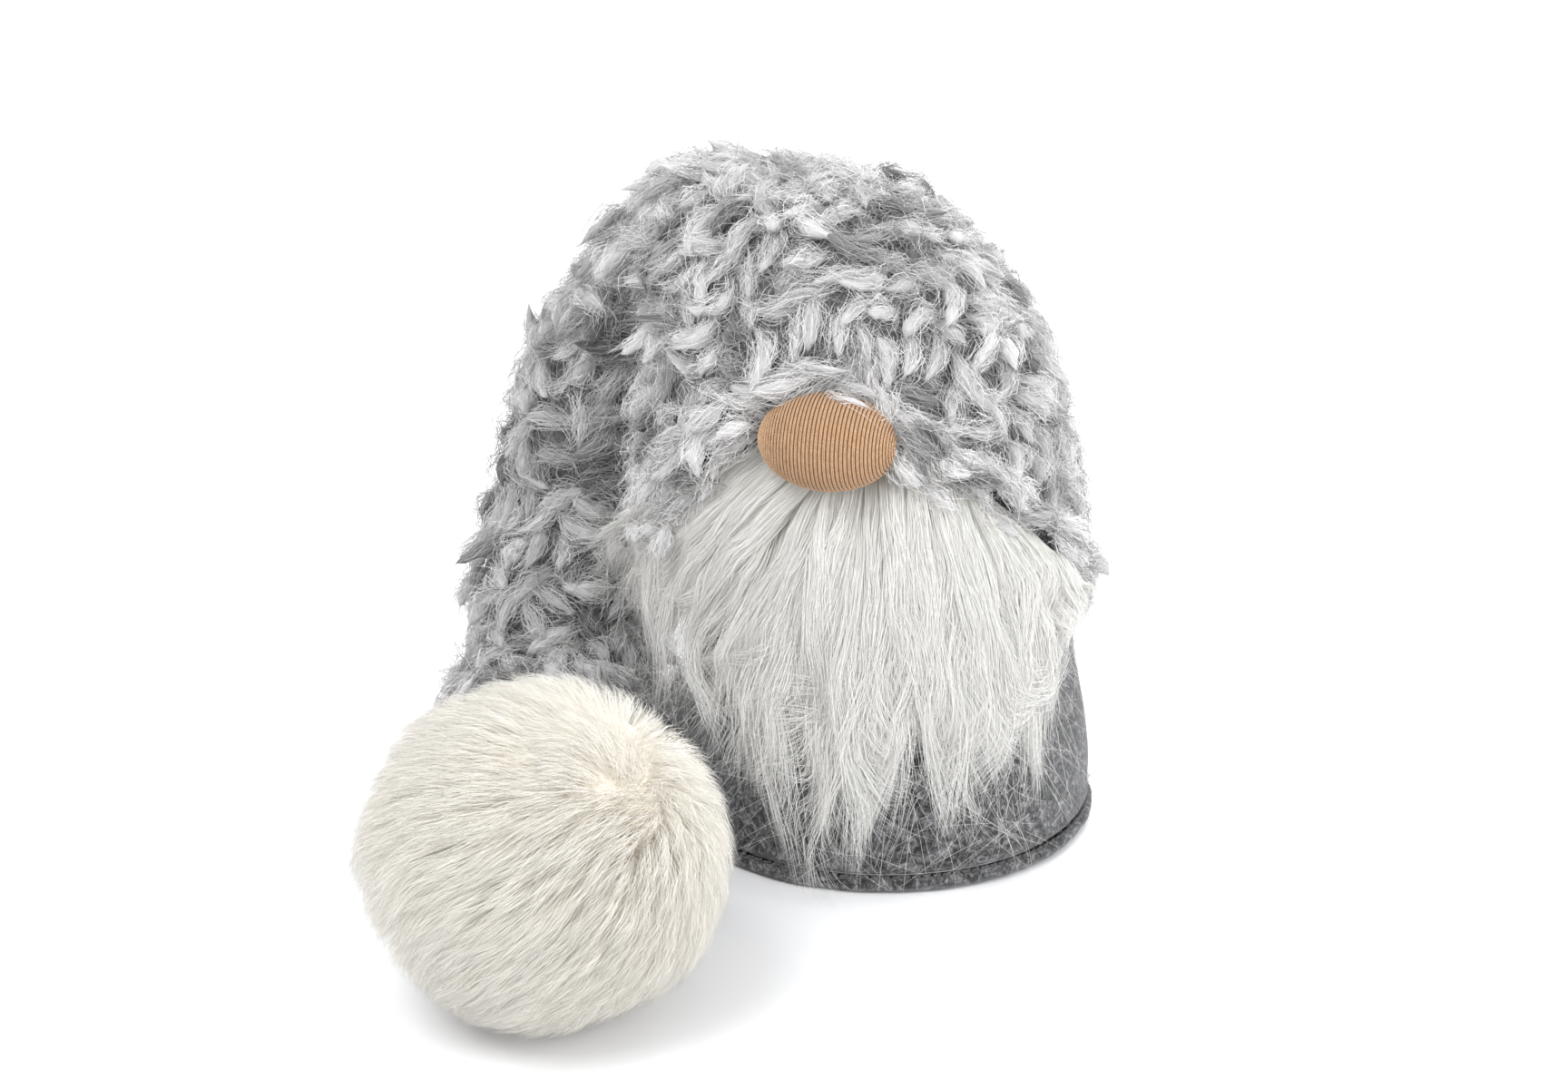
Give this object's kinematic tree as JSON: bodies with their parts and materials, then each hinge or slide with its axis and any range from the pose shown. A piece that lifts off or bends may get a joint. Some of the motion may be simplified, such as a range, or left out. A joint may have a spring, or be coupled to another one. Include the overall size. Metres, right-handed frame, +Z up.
{
  "type": "tomte gnome figurine",
  "caption": "Weighted felt gnome with a jersey nose, long fur beard and a fluffy folded hat whose hanging tail ends in a fur pompom.",
  "frame": {"origin": "centre of the round base, on the surface that the gnome stands on", "axes": "+Z up, -Y the face side, +X to the right when looking at the face"},
  "size_m": [0.1955, 0.2601, 0.1925],
  "materials": {
    "grey_felt": "matte",
    "base_card": "matte",
    "grey_thread": "satin",
    "pouch_cloth": "matte",
    "pellets": "satin",
    "wadding": "matte",
    "nose_jersey": "matte",
    "tan_thread": "satin",
    "hat_boucle": "matte",
    "fur_backing": "matte",
    "beard_fur": "satin",
    "pompom_fur": "satin",
    "white_thread": "satin"
  },
  "bodies": {
    "gnome": {"base_felt": "grey_felt", "base_stiffener": "base_card", "body_cover": "grey_felt", "base_seam_thread": "grey_thread", "weight_pouch": "pouch_cloth", "weight_pellets": "pellets", "body_stuffing": "wadding", "back_seam": "grey_felt", "gathering_thread": "grey_thread", "nose_cover": "nose_jersey", "nose_filling": "wadding", "nose_knot": "tan_thread", "hat_crown": "hat_boucle", "hat_hem": "hat_boucle"},
    "beard": {"beard_backing": "fur_backing", "beard_pile": "beard_fur"},
    "tail_upper": {"hat_tail_upper": "hat_boucle"},
    "tail_lower": {"hat_tail_lower": "hat_boucle", "tail_tip_tie": "grey_thread"},
    "pompom": {"pompom_pile": "pompom_fur", "pompom_backing": "fur_backing", "pompom_filling": "wadding", "pompom_thread": "white_thread"}
  },
  "joints": [
    {"name": "beard_lift", "type": "hinge", "parent": "gnome", "child": "beard", "pos_m": [0, -0.052, 0.118], "axis": [-1, 0, 0], "range_deg": [0, 20]},
    {"name": "tail_swing", "type": "hinge", "parent": "gnome", "child": "tail_upper", "pos_m": [-0.053, 0.017, 0.1625], "axis": [0, 1, 0], "range_deg": [0, 60]},
    {"name": "tail_turn", "type": "hinge", "parent": "tail_upper", "child": "tail_lower", "pos_m": [-0.103, 0.006, 0.05], "axis": [0, 0, -1], "range_deg": [0, 75]},
    {"name": "pompom_tip", "type": "hinge", "parent": "tail_lower", "child": "pompom", "pos_m": [-0.066, -0.108, 0.036], "axis": [-1, 0, 0], "range_deg": [0, 50]}
  ]
}
